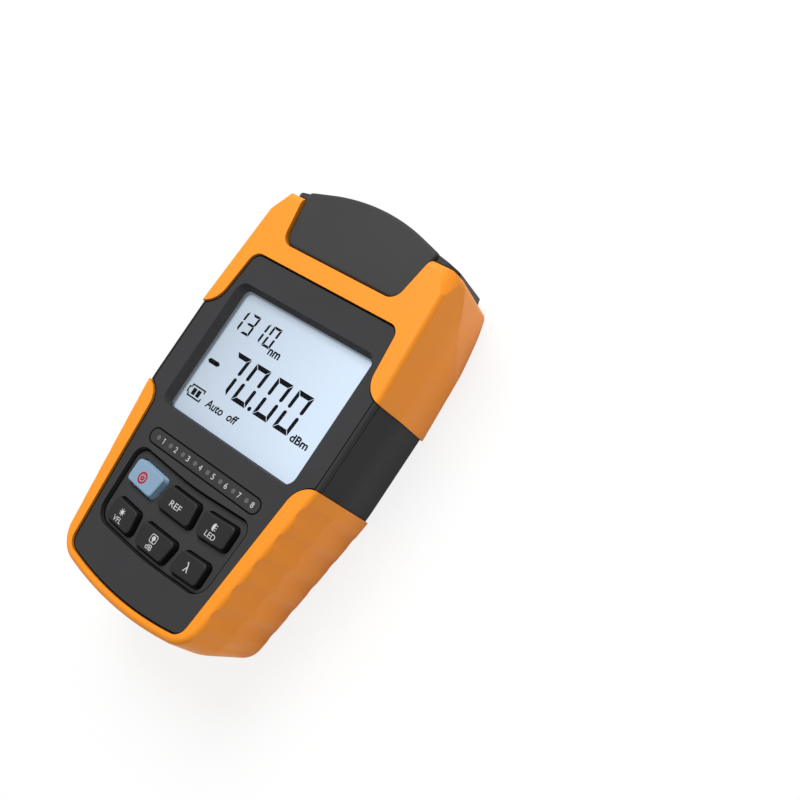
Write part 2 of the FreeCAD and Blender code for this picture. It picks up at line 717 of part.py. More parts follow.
def scallops():
    """What the soft wave down each side of the lower bumper takes off, leaning in with the keel."""
    lean = atan2((WIDTH - TIP_WIDTH) / 2, WAIST_LOW_Y - BOTTOM_Y - BOTTOM_CORNER_UP)
    wave = []
    for i in range(2 * SCALLOP_COUNT + 1):
        y = WAIST_LOW_Y - SCALLOP_FIRST - SCALLOP_PITCH * (i - 1) / 2
        out = -SCALLOP_DEPTH if i % 2 else SCALLOP_RISE
        wave.append((WIDTH / 2 - (WAIST_LOW_Y - y) * tan(lean) + out, y, SCALLOP_R))
    first, last = wave[0], wave[-1]
    wave[0], wave[-1] = (first[0], first[1], 0), (last[0], last[1], 0)
    plan = Part.Face(outline([(WIDTH, last[1], 0), (WIDTH, first[1], 0)] + wave))
    plan.translate(V(0, 0, KEEL_Z))
    cutters = [plan.extrude(V(0, 0, DEPTH)), plan.extrude(V(-KEEL_LEAN, 0, -KEEL_Z))]
    return cutters + [cutter.mirror(V(0, 0, 0), V(1, 0, 0)) for cutter in cutters]


def bumpers():
    end_window = body(CHEEK, rounded=False).common(block(-WIDTH, WIDTH, WALL_Y, LENGTH, 0, SEAM_Z))
    half = EAR_X[1] + KNUCKLE_GAP
    shell = body(0, ended=True).cut([
        case_block(),
        prism(panel_outline(), SEAM_Z, DEPTH + 1),
        slab_recess(SEAM_Z - 1, DEPTH + 1),
        end_window,
        block(-half, half, WALL_Y, LENGTH, -1, COVER_FOOT_Z),
    ])
    return above_y(shell, WAIST_HIGH_Y), below_y(shell, WAIST_LOW_Y).cut(scallops())


# ---- Dust cover ----
def cover_outline(low_y):
    shoulder = (COVER_SHOULDER_X, END_Y + COVER_GAP + COVER_SHOULDER, COVER_BEND_R)
    half = TOP_WIDTH / 2 - COVER_INSET
    return mirrored([
        crown(LENGTH / 2 - SLAB_EAVE, COVER_CROWN_R, shoulder),
        shoulder,
        (half, END_Y + COVER_GAP + COVER_SIDE_OUT, COVER_CORNER_R),
        (half, low_y, 0),
    ])


def dust_cover():
    low_y = END_Y + COVER_GAP
    slab_under = SLAB_Z - SLAB_THICK
    hood = prism(cover_outline(low_y), COVER_FOOT_Z, SHOULDER_Z).common(body(COVER_INSET))
    half = TOP_WIDTH / 2 - COVER_INSET
    shoulders = [(half, SHOULDER_Z, COVER_TOP_R), (-half, SHOULDER_Z, COVER_TOP_R), (-half, -1, 0), (half, -1, 0)]
    hood = hood.common(seen_from_end(shoulders).extrude(V(0, LENGTH, 0)))
    hollow = prism(inset(cover_outline(low_y - OVERRUN), COVER_WALL), -1, slab_under)
    hood = hood.cut(hollow.common(body(COVER_INSET + COVER_WALL, rounded=False)))
    slab = prism(slab_outline(COVER_GAP + COVER_SHOULDER, SLAB_TIP_R), slab_under, SLAB_Z)
    slab = slab.makeFillet(COVER_EDGE_R, edges_at(slab, SLAB_Z))
    half = COVER_KNUCKLE / 2
    web = block(-half, half, HINGE_Y, LENGTH, HINGE_Z - KNUCKLE_R, COVER_FOOT_Z + COVER_WALL)
    web = web.common(prism(cover_outline(low_y), 0, DEPTH))
    web = web.cut(block(-half, half, HINGE_Y, LENGTH / 2 - 2 * COVER_WALL, HINGE_Z + KNUCKLE_R, DEPTH))
    solid = joined([hood, slab, rod_x(KNUCKLE_R, -half, half, HINGE_Y, HINGE_Z), web])
    return solid.cut(rod_x(PIN_R + PIN_GAP, -half - 1, half + 1, HINGE_Y, HINGE_Z))


# ---- Display ----
def plate_under_window(margin, z0, z1):
    y0, y1 = WINDOW_Y
    half = WINDOW_HALF + margin
    return prism(mirrored([(half, y0 - margin, 1.0), (half, y1 + margin, 1.0)]), z0, z1)


# ---- Board ----
def main_board():
    wire = inset(body_outline(), BUMPER_WALL + CASE_WALL + BOARD_MARGIN)
    board = above_y(below_y(prism(wire, BOARD_Z, BOARD_TOP), BOARD_END_Y), -LENGTH)
    return board.cut([rod_z(SCREW_R + SCREW_HOLE_GAP, 0, DEPTH, x, y) for x, y in screw_places()])


def key_switches():
    solids = []
    half = SWITCH_SIDE / 2
    base_top = BOARD_TOP + SWITCH_BASE
    for row, column in KEYS.values():
        x, y = key_centre(row, column)
        base = block(x - half, x + half, y - half, y + half, BOARD_TOP, base_top)
        solids.append(joined([base, rod_z(PLUNGER_R, base_top, PLUNGER_TOP, x, y)]))
    return Part.makeCompound(solids)


def indicator_lamps():
    solids = []
    for x, y in lamp_places():
        top = PANEL_UNDER - STOP_GAP
        lamp = rod_z(LAMP_R, BOARD_TOP, top - LAMP_R, x, y)
        solids.append(joined([lamp, Part.makeSphere(LAMP_R, V(x, y, top - LAMP_R))]))
    return Part.makeCompound(solids)


def case_screws():
    solids = []
    for x, y in screw_places():
        head = rod_z(SCREW_HEAD_R, SCREW_SINK, SCREW_SINK + SCREW_HEAD_HIGH, x, y)
        solids.append(joined([head, rod_z(SCREW_R, SCREW_SINK, SCREW_TOP, x, y)]))
    return Part.makeCompound(solids)


# ---- Ports ----
def port(x, barrel_r, flange_r, out, nose_r):
    """A turned ferrule port: flange on the end wall, barrel through it, fine bore and rear seat."""
    seat_r = nose_r + GLUE_GAP
    barrel = rod_y(barrel_r, WALL_Y - PORT_DEPTH, WALL_Y + out, x)
    flange = rod_y(flange_r, WALL_Y, WALL_Y + PORT_FLANGE, x)
    bore = rod_y(FERRULE_R + FERRULE_GAP, 0, LENGTH, x)
    seat = rod_y(seat_r, WALL_Y - PORT_DEPTH - 1, WALL_Y - PORT_DEPTH + SEAT_DEPTH, x)
    return joined([barrel, flange]).cut([bore, seat])


def seated_rod(r, length, x):
    """A can or module whose nose sits in the rear seat of its port."""
    front = WALL_Y - PORT_DEPTH + SEAT_DEPTH
    return rod_y(r, front - length, front, x)


def torch_bezel():
    out = rod_y(TORCH_BEZEL_R, WALL_Y, WALL_Y + PORT_FLANGE, TORCH_X)
    sleeve = rod_y(TORCH_BARREL_R, WALL_Y - CASE_WALL - 1, WALL_Y, TORCH_X)
    return joined([out, sleeve]).cut(rod_y(TORCH_R + PORT_HOLE_GAP, 0, LENGTH, TORCH_X))


def torch_led():
    front = WALL_Y + PORT_FLANGE
    back = front - TORCH_LENGTH
    stem = rod_y(TORCH_R, back, front - TORCH_R, TORCH_X)
    dome = Part.makeSphere(TORCH_R, V(TORCH_X, front - TORCH_R, PORT_Z))
    rim = rod_y(TORCH_RIM_R, back, back + TORCH_RIM, TORCH_X)
    return joined([stem, dome, rim])


def network_jack():
    """A modular jack: the plug's socket, and above it the slot that its latch clicks into."""
    front = WALL_Y + JACK_OUT
    floor = BOARD_Z - JACK[2] + SOCKET_UP
    roof = floor + SOCKET[2]

    def box(width, back, mouth_y, z0, z1):
        return block(JACK_X - width / 2, JACK_X + width / 2, back, mouth_y, z0, z1)

    shell = box(JACK[0], front - JACK[1], front, BOARD_Z - JACK[2], BOARD_Z)
    back = front - SOCKET[1]
    socket = box(SOCKET[0], back, front + 1, floor, roof)
    slot = box(LATCH_SLOT[0], back, front + 1, roof, roof + LATCH_SLOT[1])
    return shell.cut([socket, slot])


def jack_contacts():
    """Eight sprung pins that slope from the socket's floor at the mouth to its back."""
    floor = BOARD_Z - JACK[2] + SOCKET_UP
    back = WALL_Y + JACK_OUT - SOCKET[1]
    top = (back + PIN_FOOT, floor + PIN_RISE)
    side = [(back, floor), (back + PIN_RUN, floor), top, (back, floor + PIN_FOOT)]
    solids = []
    for i in range(PIN_COUNT):
        x = JACK_X + PIN_PITCH * (i - (PIN_COUNT - 1) / 2) - PIN_WIDTH / 2
        wire = Part.makePolygon([V(x, y, z) for y, z in side + side[:1]])
        solids.append(Part.Face(wire).extrude(V(PIN_WIDTH, 0, 0)))
    return Part.makeCompound(solids)


def main():
    os.makedirs("parts", exist_ok=True)
    upper, lower = bumpers()
    lens_top = PANEL_UNDER - GLUE_GAP
    lcd_top = lens_top - LENS_THICK - GLUE_GAP
    save("front_case", front_case())
    save("rear_case", rear_case())
    save("upper_bumper", upper)
    save("lower_bumper", lower)
    save("dust_cover", dust_cover())
    save("cover_hinge_pin", rod_x(PIN_R, -EAR_X[1], EAR_X[1], HINGE_Y, HINGE_Z))
    save("display_lens", plate_under_window(LENS_MARGIN, lens_top - LENS_THICK, lens_top))
    save("lcd_panel", plate_under_window(LCD_MARGIN, lcd_top - LCD_THICK, lcd_top))
    save("backlight", plate_under_window(LCD_MARGIN, BOARD_TOP, lcd_top - LCD_THICK))
    save("indicator_strip", prism(strip_outline(STRIP_GAP), PANEL_Z - STRIP_THICK, PANEL_Z))
    save("indicator_lamps", indicator_lamps())
    for name, (row, column) in KEYS.items():
        save(name, key(row, column))
    save("key_switches", key_switches())
    save("main_board", main_board())
    save("case_screws", case_screws())
    save("battery_door", battery_door())
    save("battery_cells", battery_cells())
    save("battery_contacts", battery_contacts())
    detector = (DETECTOR_X, DETECTOR_BARREL_R, DETECTOR_FLANGE_R, DETECTOR_OUT, DETECTOR_CAN_R)
    save("detector_port", port(*detector))
    save("detector_diode", seated_rod(DETECTOR_CAN_R, DETECTOR_CAN, DETECTOR_X))
    save("laser_port", port(LASER_X, LASER_BARREL_R, LASER_FLANGE_R, LASER_OUT, LASER_NOSE_R))
    nose = seated_rod(LASER_NOSE_R, SEAT_DEPTH + 1, LASER_X)
    module = rod_y(LASER_R, WALL_Y - PORT_DEPTH - LASER_LENGTH, WALL_Y - PORT_DEPTH, LASER_X)
    save("laser_module", joined([nose, module]))
    save("torch_bezel", torch_bezel())
    save("torch_led", torch_led())
    save("network_jack", network_jack())
    save("jack_contacts", jack_contacts())


main()
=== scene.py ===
"""Looks of a hand-held optical power meter: finishes, display, printed marks, small fittings."""

from math import cos, radians, sin, tau

import bmesh
import bpy
from mathutils import Matrix, Vector


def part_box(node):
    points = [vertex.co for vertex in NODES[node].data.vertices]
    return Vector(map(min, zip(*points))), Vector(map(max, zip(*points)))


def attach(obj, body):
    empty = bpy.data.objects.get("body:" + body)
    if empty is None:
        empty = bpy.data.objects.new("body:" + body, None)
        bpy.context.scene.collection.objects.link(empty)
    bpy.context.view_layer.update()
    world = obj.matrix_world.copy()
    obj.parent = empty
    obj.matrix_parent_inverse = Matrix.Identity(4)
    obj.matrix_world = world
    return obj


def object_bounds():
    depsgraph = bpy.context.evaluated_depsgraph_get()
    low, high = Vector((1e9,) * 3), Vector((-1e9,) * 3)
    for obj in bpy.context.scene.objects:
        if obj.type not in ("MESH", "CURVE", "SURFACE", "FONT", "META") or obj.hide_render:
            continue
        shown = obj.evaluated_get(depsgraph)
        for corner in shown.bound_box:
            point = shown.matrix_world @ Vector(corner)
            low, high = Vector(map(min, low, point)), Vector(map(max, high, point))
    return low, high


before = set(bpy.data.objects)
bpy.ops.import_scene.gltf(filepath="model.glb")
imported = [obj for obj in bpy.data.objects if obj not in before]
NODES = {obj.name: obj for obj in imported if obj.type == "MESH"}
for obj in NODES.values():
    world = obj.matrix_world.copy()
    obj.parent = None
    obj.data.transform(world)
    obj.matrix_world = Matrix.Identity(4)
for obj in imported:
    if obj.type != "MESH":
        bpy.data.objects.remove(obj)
CAD_BOX = [list(corner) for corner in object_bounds()]
MM = 0.001

# ---- Camera ----
CAMERA_AIM = (38.8 * MM, 19.8 * MM, 30.0 * MM)
CAMERA_DISTANCE = 298.8 * MM
CAMERA_AZIMUTH = radians(-7.46)     # from +X towards +Y
CAMERA_ELEVATION = radians(53.3)
CAMERA_ROLL = radians(-50.44)
CAMERA_LENS = 58.5                  # millimetres, on the standard 36 mm sensor

# ---- Colours, in linear light ----
ORANGE = (0.885, 0.280, 0.0115)
CASE_GREY = (0.042, 0.042, 0.044)
COVER_GREY = (0.034, 0.034, 0.035)
KEY_GREY = (0.007, 0.007, 0.008)
LIGHT_KEY = (0.205, 0.315, 0.435)
LAMP_GREY = (0.085, 0.083, 0.082)
MARK_WHITE = (0.55, 0.55, 0.55)
MARK_RED = (0.38, 0.010, 0.018)
LCD_BRIGHT = (0.595, 0.705, 0.84)
LCD_DIM = (0.40, 0.465, 0.54)
INK = (0.004, 0.004, 0.006)
# painted shade: the black drawn on flat faces for gaps and recesses
PAINTED_SHADE_BLACK = (0.003, 0.003, 0.003)
JACKET = ((0.018, 0.020, 0.028), (0.030, 0.032, 0.042))
COPPER = (0.62, 0.33, 0.16)
CELL_END = (0.62, 0.61, 0.58)
SMOKE = ((0.020, 0.023, 0.026), (0.030, 0.033, 0.036))
WHITE = (1.0, 1.0, 1.0)

LUMPS = (0.3, 0.7)                  # nearly all of a grain's values lie between these


# ---- Finishes ----
class Value:
    """A number or colour that varies over a finish, so that sums on it read as Python."""

    def __init__(self, graph, socket):
        self.graph = graph
        self.socket = socket

    def maths(self, operation, *terms):
        return self.graph.node("ShaderNodeMath", {"operation": operation}, dict(enumerate(terms)))

    def __add__(self, other):
        return self.maths("ADD", self, other)

    def __radd__(self, other):
        return self.maths("ADD", other, self)

    def __sub__(self, other):
        return self.maths("SUBTRACT", self, other)

    def __rsub__(self, other):
        return self.maths("SUBTRACT", other, self)

    def __mul__(self, other):
        return self.maths("MULTIPLY", self, other)

    def __rmul__(self, other):
        return self.maths("MULTIPLY", other, self)

    def __abs__(self):
        return self.maths("ABSOLUTE", self)

    def __lt__(self, other):
        return self.maths("LESS_THAN", self, other)

    def __gt__(self, other):
        return self.maths("GREATER_THAN", self, other)

    def at_least(self, other):
        return self.maths("MAXIMUM", self, other)

    def at_most(self, other):
        return self.maths("MINIMUM", self, other)


class Graph:
    """A node tree in the making."""

    def __init__(self, tree):
        self.tree = tree

    def node(self, kind, settings=None, sockets=None, output=0):
        """Adds a node: first its settings, then the values or links of its sockets."""
        made = self.tree.nodes.new(kind)
        for name, value in (settings or {}).items():
            setattr(made, name, value)
        for name, value in (sockets or {}).items():
            self.feed(made.inputs[name], value)
        return Value(self, made.outputs[output])

    def feed(self, socket, value):
        """Links a Value to a socket, or sets the socket to a constant."""
        if isinstance(value, Value):
            self.tree.links.new(value.socket, socket)
        elif socket.type == "RGBA":
            socket.default_value = (*value, 1.0)
        else:
            socket.default_value = value


class Finish(Graph):
    """A material in the making, round its main shader."""

    def __init__(self, name, **constants):
        self.material = bpy.data.materials.new(name)
        self.material.use_nodes = True
        super().__init__(self.material.node_tree)
        self.shader = self.tree.nodes["Principled BSDF"]
        for socket, value in constants.items():
            self.set(socket.replace("_", " ").title().replace("Ior", "IOR"), value)

    def set(self, socket, value):
        self.feed(self.shader.inputs[socket], value)

    def place(self):
        """Where a point is in the piece's own frame, in metres."""
        return self.node("ShaderNodeTexCoord", output="Object")

    def axis(self, name):
        return self.node("ShaderNodeSeparateXYZ", sockets={0: self.place()}, output=name)

    def grain(self, size, detail=2.0):
        """Noise between 0 and 1 whose lumps are about size metres wide."""
        sockets = {"Vector": self.place(), "Scale": 1 / size, "Detail": detail, "Roughness": 0.5}
        return self.node("ShaderNodeTexNoise", {"noise_dimensions": "3D"}, sockets)

    def blend(self, factor, first, second):
        """A colour from first to second as factor goes from 0 to 1."""
        sockets = {0: factor, 6: first, 7: second}
        return self.node("ShaderNodeMix", {"data_type": "RGBA"}, sockets, output=2)

    def mapped(self, value, low, high, out_low=0.0, out_high=1.0):
        """From out_low to out_high as value goes from low to high, and no further."""
        sockets = {0: value, 1: low, 2: high, 3: out_low, 4: out_high}
        return self.node("ShaderNodeMapRange", {"clamp": True}, sockets)

    def sheen(self, cloud, least, most):
        """Roughness from least to most over the lumps of cloud."""
        self.set("Roughness", self.mapped(cloud, *LUMPS, least, most))

    def raise_by(self, height, depth):
        """Bumps the surface by height, a value from 0 to 1, times depth metres."""
        sockets = {"Height": height, "Distance": depth, "Strength": 1.0}
        self.set("Normal", self.node("ShaderNodeBump", sockets=sockets))


def scaled(colour, factor):
    return tuple(channel * factor for channel in colour)


def moulded_plastic(name, colour, roughness, grain_size=0.0003, depth=0.00004, shine=0.2):
    """Hard plastic from a spark-eroded mould: a fine even grain, a slightly uneven sheen."""
    finish = Finish(name, specular_ior_level=shine)
    cloud = finish.grain(0.012, detail=3.0)
    finish.set("Base Color", finish.blend(cloud, scaled(colour, 0.9), scaled(colour, 1.1)))
    finish.sheen(cloud, roughness - 0.04, roughness + 0.05)
    finish.raise_by(finish.grain(grain_size), depth)
    return finish.material


def soft_rubber(name, colour, roughness, grain_size=0.00045, depth=0.00004, shine=0.28):
    """Over-moulded elastomer: silky, with a faint mottle."""
    finish = Finish(name, specular_ior_level=shine)
    mottle = finish.grain(0.009, detail=4.0)
    finish.set("Base Color", finish.blend(mottle, scaled(colour, 0.94), scaled(colour, 1.04)))
    finish.sheen(mottle, roughness - 0.05, roughness + 0.05)
    finish.raise_by(finish.grain(grain_size, detail=3.0), depth)
    return finish.material


def milky_silicone(name, colour, low, high):
    """Key rubber with painted light: its walls, from height low to high, are painted lighter."""
    finish = Finish(name, specular_ior_level=0.28)
    height = finish.mapped(finish.axis("Z"), low, high)
    mottle = finish.grain(0.009, detail=4.0)
    face = finish.blend(mottle, scaled(colour, 0.95), scaled(colour, 1.03))
    # painted light: below low the walls are painted 1.9 times as bright, fading to the top's
    # colour at high
    finish.set("Base Color", finish.blend(height, scaled(colour, 1.9), face))
    finish.sheen(mottle, 0.40, 0.50)
    finish.raise_by(finish.grain(0.0002, detail=3.0), 0.000006)
    return finish.material


def plated_metal(name, colour, roughness):
    """Plating over turned or pressed metal: slightly clouded, with fine working marks."""
    finish = Finish(name, metallic=1.0)
    cloud = finish.grain(0.0025, detail=3.0)
    finish.set("Base Color", finish.blend(cloud, scaled(colour, 0.9), colour))
    finish.sheen(cloud, roughness - 0.04, roughness + 0.06)
    finish.raise_by(finish.grain(0.00012, detail=1.0), 0.000002)
    return finish.material


CELL_COUNT = 3
BAND_FROM = 0.78                    # along a cell, as a share of its length
END_FROM = 0.482                    # off its middle, both ways


def wrapped_cell():
    """Printed jacket of a cell: dark, with a copper band at one end, and bare metal over both.
    The middle cell lies the other way round."""
    finish = Finish("cell_jacket", specular_ior_level=0.5)
    low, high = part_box("battery_cells")
    along = finish.mapped(finish.axis("Y"), low.y, high.y)
    turned = abs(finish.axis("X")) < (high.x - low.x) / (2 * CELL_COUNT)
    along = along + turned * (1 - 2 * along)
    band = along > BAND_FROM
    end = abs(along - 0.5) > END_FROM
    crease = finish.grain(0.003, detail=4.0)
    jacket = finish.blend(band, finish.blend(crease, *JACKET), COPPER)
    finish.set("Base Color", finish.blend(end, jacket, CELL_END))
    finish.set("Metallic", (band + end).at_most(1.0))
    finish.sheen(crease, 0.22, 0.38)
    finish.raise_by(crease, 0.00003)
    return finish.material


def plain_ink(name, colour, roughness=0.5, shine=0.5):
    """A thin coat of one colour, a little uneven."""
    finish = Finish(name, specular_ior_level=shine)
    spread = finish.grain(0.0006)
    finish.set("Base Color", finish.blend(spread, scaled(colour, 0.93), colour))
    finish.sheen(spread, roughness - 0.04, roughness + 0.04)
    return finish.material


FLECK = 0.1                         # the fleck's share in the shading of the display


def lit_display():
    """The pale ground of the display: lit from its right-hand end, with a faint fleck."""
    finish = Finish("display_ground", specular_ior_level=0.2, roughness=0.6,
                    emission_strength=0.20)
    low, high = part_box("lcd_panel")
    across = finish.mapped(finish.axis("X"), low.x, high.x)
    fleck = finish.grain(0.0004)
    shade = finish.blend(across * (1 - FLECK) + fleck * FLECK, LCD_DIM, LCD_BRIGHT)
    finish.set("Base Color", shade)
    finish.set("Emission Color", shade)
    return finish.material


def clear_window():
    """The clear front of the display: it only adds gloss over what lies behind it."""
    finish = Finish("clear_window", alpha=0.03, specular_ior_level=0.5)
    smear = finish.grain(0.02, detail=5.0)
    finish.set("Base Color", finish.blend(smear, *SMOKE))
    finish.sheen(smear, 0.08, 0.18)
    return finish.material


def dressed(material, *nodes):
    """Gives the nodes their only material."""
    for node in nodes:
        mesh = NODES[node].data
        mesh.materials.clear()
        mesh.materials.append(material)


orange_rubber = soft_rubber("orange_rubber", ORANGE, 0.50)
case_plastic = moulded_plastic("case_plastic", CASE_GREY, 0.55, shine=0.04)
cover_plastic = moulded_plastic("cover_plastic", COVER_GREY, 0.48, shine=0.14)
dark_key_rubber = soft_rubber("dark_key_rubber", KEY_GREY, 0.45, grain_size=0.0003,
                              depth=0.00002, shine=0.22)
KEY_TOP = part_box("power_key")[1].z
# painted light on the power key's walls, from 1.0 to 0.15 mm below its top
light_key_rubber = milky_silicone("light_key_rubber", LIGHT_KEY,
                                  KEY_TOP - 1.0 * MM, KEY_TOP - 0.15 * MM)
film = moulded_plastic("strip_film", CASE_GREY, 0.40, grain_size=0.0001, depth=0.000003,
                       shine=0.04)
nickel = plated_metal("nickel", (0.72, 0.70, 0.66), 0.22)
zinc = plated_metal("zinc", (0.55, 0.56, 0.58), 0.32)
brass = plated_metal("brass", (0.78, 0.56, 0.22), 0.28)
gold = plated_metal("gold", (0.95, 0.68, 0.25), 0.18)
black_plastic = moulded_plastic("black_plastic", (0.02, 0.02, 0.02), 0.4)
white_plastic = moulded_plastic("light_guide", (0.8, 0.8, 0.78), 0.4)
solder_resist = moulded_plastic("solder_resist", (0.02, 0.16, 0.06), 0.3)
ceramic = moulded_plastic("ceramic", (0.78, 0.77, 0.74), 0.25, grain_size=0.0002,
                          depth=0.000001, shine=0.5)
epoxy = moulded_plastic("clear_epoxy", (0.75, 0.80, 0.85), 0.12, grain_size=0.001,
                        depth=0.000002)
lamp_epoxy = moulded_plastic("lamp_epoxy", (0.22, 0.22, 0.21), 0.25, grain_size=0.001,
                             depth=0.000002)

dressed(orange_rubber, "upper_bumper", "lower_bumper")
dressed(case_plastic, "front_case", "rear_case", "battery_door")
dressed(cover_plastic, "dust_cover")
dressed(dark_key_rubber, "reference_key", "torch_key", "laser_key", "decibel_key",
        "wavelength_key")
dressed(light_key_rubber, "power_key")
dressed(film, "indicator_strip")
dressed(clear_window(), "display_lens")
dressed(lit_display(), "lcd_panel")
dressed(white_plastic, "backlight")
dressed(zinc, "case_screws", "cover_hinge_pin", "battery_contacts")
dressed(nickel, "detector_port", "laser_port", "torch_bezel")
dressed(brass, "detector_diode", "laser_module")
dressed(gold, "jack_contacts")
dressed(black_plastic, "network_jack", "key_switches")
dressed(solder_resist, "main_board")
dressed(wrapped_cell(), "battery_cells")
dressed(epoxy, "torch_led")
dressed(lamp_epoxy, "indicator_lamps")

display_ink = plain_ink("display_ink", INK, shine=0.02)
# painted shade, for the gaps round the panel, tray and strip, and for the screws' cross recesses
painted_shade_black = plain_ink("painted_shade_black", PAINTED_SHADE_BLACK, 0.8, shine=0.02)
white_ink = plain_ink("white_ink", MARK_WHITE)
red_ink = plain_ink("red_ink", MARK_RED, 0.6, shine=0.08)
lamp_tint = plain_ink("lamp_tint", LAMP_GREY, 0.3)


# ---- Ink: display figures, key marks and strip lettering, drawn in millimetres ----
INK_SUNK = 0.02                     # how far ink reaches into the face that it lies on
INK_RISE = 0.01                     # and how far it stands proud of it
WELD = 0.0005                       # points nearer than this become one
STROKE_MITRE = 0.5                  # a bend reaches out at most 1 / this of half the width
LINE_MITRE = 0.6                    # the same, for an outline that is moved inwards


def filled(corners):
    """A sheet, which is (points, faces), bounded by corners."""
    return list(corners), [tuple(range(len(corners)))]


def ring(outer, inner):
    """The sheet between two outlines of as many points."""
    count = len(outer)
    steps = [(i, (i + 1) % count) for i in range(count)]
    return list(outer) + list(inner), [(a, b, count + b, count + a) for a, b in steps]


def arc(x, y, radius, start, turn, count):
    """The points of an arc about (x, y), in count steps."""
    angles = [start + turn * i / count for i in range(count + 1)]
    return [(x + radius * cos(angle), y + radius * sin(angle)) for angle in angles]


def circle(x, y, radius, count=40):
    return arc(x, y, radius, 0.0, tau, count)[:-1]


def bar(x0, y0, x1, y1):
    return filled([(x0, y0), (x1, y0), (x1, y1), (x0, y1)])


def rounded_box(x, y, width, height, radius):
    """Outline of a box about (x, y) with rounded corners."""
    half_x, half_y = width / 2 - radius, height / 2 - radius
    corners = [(half_x, half_y), (-half_x, half_y), (-half_x, -half_y), (half_x, -half_y)]
    return [point for i, (dx, dy) in enumerate(corners)
            for point in arc(x + dx, y + dy, radius, i * tau / 4, tau / 4, 5)]


def stroke(points, width):
    """The sheet along a bent line, as wide as width."""
    left, right = [], []
    for i, point in enumerate(points):
        here = Vector(point)
        back = (here - Vector(points[i - 1])).normalized() if i else None
        on = (Vector(points[i + 1]) - here).normalized() if i + 1 < len(points) else None
        along = ((back or on) + (on or back)).normalized()
        across = along.orthogonal() * (width / 2 / max(along.dot(on or back), STROKE_MITRE))
        left.append(tuple(here + across))
        right.append(tuple(here - across))
    count = len(points)
    return left + right, [(i, i + 1, count + i + 1, count + i) for i in range(count - 1)]


def lettering(text, left, low, width, height, weight=0.0, lean=0.0):
    """The sheet of a word, fitted to a box."""
    curve = bpy.data.curves.new(text, "FONT")
    curve.body = text
    curve.offset = weight
    word = bpy.data.objects.new(text, curve)
    bpy.context.scene.collection.objects.link(word)
    bpy.context.view_layer.update()
    mesh = word.to_mesh()
    points = [(point.co.x + lean * point.co.y, point.co.y) for point in mesh.vertices]
    faces = [tuple(face.vertices) for face in mesh.polygons]
    bpy.data.objects.remove(word)
    bpy.data.curves.remove(curve)
    lows = [min(point[k] for point in points) for k in (0, 1)]
    highs = [max(point[k] for point in points) for k in (0, 1)]
    scales = (width / (highs[0] - lows[0]), height / (highs[1] - lows[1]))
    starts = (left, low)
    return [tuple(starts[k] + (point[k] - lows[k]) * scales[k] for k in (0, 1))
            for point in points], faces


def word_on(text, x, y, width, height):
    """The sheet of a word about (x, y)."""
    return lettering(text, x - width / 2, y - height / 2, width, height)


def put_in_order(elements, place):
    """Orders a shape's points, edges or faces by where they are, so that every run agrees."""
    ranks = {element: rank for rank, element in enumerate(sorted(elements, key=place))}
    elements.sort(key=ranks.get)


def fitted(name, shape, body, material):
    """Ends the making of a shape: it becomes a piece with a finish, which rides on body."""
    bmesh.ops.recalc_face_normals(shape, faces=shape.faces)
    put_in_order(shape.verts, lambda vert: tuple(vert.co))
    put_in_order(shape.edges, lambda edge: tuple(edge.verts[0].co + edge.verts[1].co))
    put_in_order(shape.faces, lambda face: tuple(face.calc_center_median()))
    mesh = bpy.data.meshes.new(name)
    shape.to_mesh(mesh)
    shape.free()
    mesh.materials.append(material)
    piece = bpy.data.objects.new(name, mesh)
    bpy.context.scene.collection.objects.link(piece)
    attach(piece, body)


# The turn from a sheet as drawn, facing up, to the side of the meter that it lies on.
FRONT = Matrix.Identity(4)
PORT_END = Matrix.Rotation(tau / 2, 4, "Z") @ Matrix.Rotation(tau / 4, 4, "X")
BACK = Matrix.Rotation(tau / 2, 4, "Y")


def printed(name, sheets, level, body, material, side=FRONT):
    """Ink on a flat face, level millimetres out towards side: the sheets as one thin piece."""
    shape = bmesh.new()
    for points, faces in sheets:
        corners = [shape.verts.new((x * MM, y * MM, (level - INK_SUNK) * MM)) for x, y in points]
        for face in faces:
            shape.faces.new([corners[i] for i in face])
    bmesh.ops.remove_doubles(shape, verts=shape.verts, dist=WELD * MM)
    raised = bmesh.ops.extrude_face_region(shape, geom=shape.faces[:])["geom"]
    tops = [part for part in raised if isinstance(part, bmesh.types.BMVert)]
    bmesh.ops.translate(shape, verts=tops, vec=(0, 0, (INK_SUNK + INK_RISE) * MM))
    bmesh.ops.transform(shape, matrix=side, verts=shape.verts)
    fitted(name, shape, body, material)


def top_of(node):
    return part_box(node)[1].z / MM


LEVEL_NORMAL = 0.999                # a face whose normal rises this much is level
SAME_HEIGHT = 0.01
DECIMALS = 3                        # kept of a corner's place, so that neighbours agree


def flat_outlines(node, z):
    """Outlines of a node's level faces at height z, as closed lists of (x, y), in the order of
    their lowest y."""
    mesh = NODES[node].data
    edges = set()
    for face in mesh.polygons:
        corners = [mesh.vertices[i].co / MM for i in face.vertices]
        if face.normal.z > LEVEL_NORMAL and abs(corners[0].z - z) < SAME_HEIGHT:
            flat = [(round(corner.x, DECIMALS), round(corner.y, DECIMALS))
                    for corner in corners]
            edges.update(zip(flat, flat[1:] + flat[:1]))
    onward = {start: end for start, end in edges if (end, start) not in edges}
    outlines = []
    while onward:
        start, here = onward.popitem()
        outline = [start]
        while here != start:
            outline.append(here)
            here = onward.pop(here)
        outlines.append(outline)
    return sorted(outlines, key=lambda outline: min(y for x, y in outline))


def drawn_in(outline, depth):
    """The outline moved by depth to its left, where the face that it bounds lies."""
    moved = []
    for i, point in enumerate(outline):
        here = Vector(point)
        back = (here - Vector(outline[i - 1])).normalized()
        on = (Vector(outline[(i + 1) % len(outline)]) - here).normalized()
        inwards = Vector((-back.y - on.y, back.x + on.x)).normalized()
        share = max(inwards.dot(Vector((-on.y, on.x))), LINE_MITRE)
        moved.append(tuple(here + inwards * depth / share))
    return moved


